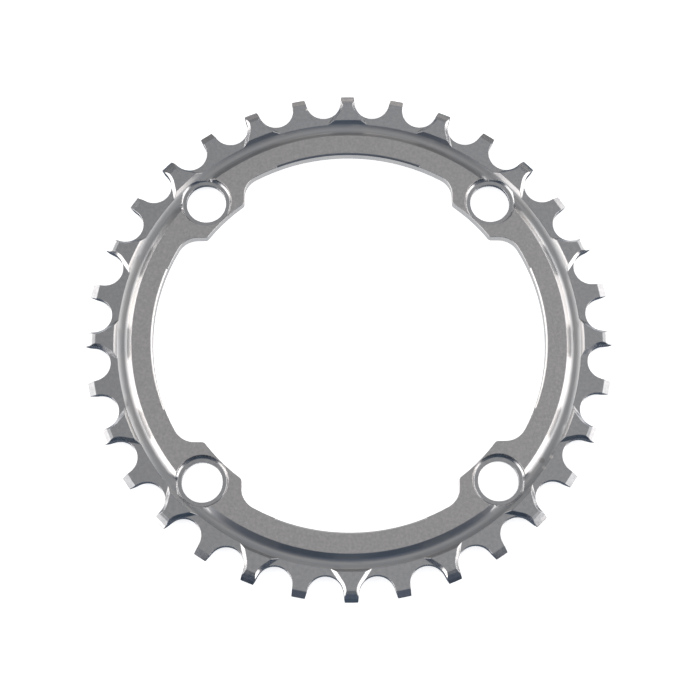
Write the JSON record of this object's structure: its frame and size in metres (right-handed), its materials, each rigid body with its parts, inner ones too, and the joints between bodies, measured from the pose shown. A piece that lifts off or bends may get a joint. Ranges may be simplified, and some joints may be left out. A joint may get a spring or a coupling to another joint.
{
  "type": "bicycle chainring",
  "caption": "Flat toothed ring of bare machined aluminium for a single bicycle chain, wide and narrow teeth in turn, with counterbored bolt tabs on its inner edge.",
  "frame": {"origin": "on the ring's axis, in the plane of the backs of the wide teeth, which are the lowest faces", "axes": "+Z along the ring's axis, out of the side with the raised land and the counterbores, away from the crank; +X through a wide tooth; the bolt holes lie on the diagonals of X and Y"},
  "size_m": [0.1336, 0.1336, 0.0037],
  "materials": {
    "machined_aluminium": "satin, finely machined, uncoated"
  },
  "bodies": {
    "root": {"chainring": "machined_aluminium"}
  },
  "joints": []
}
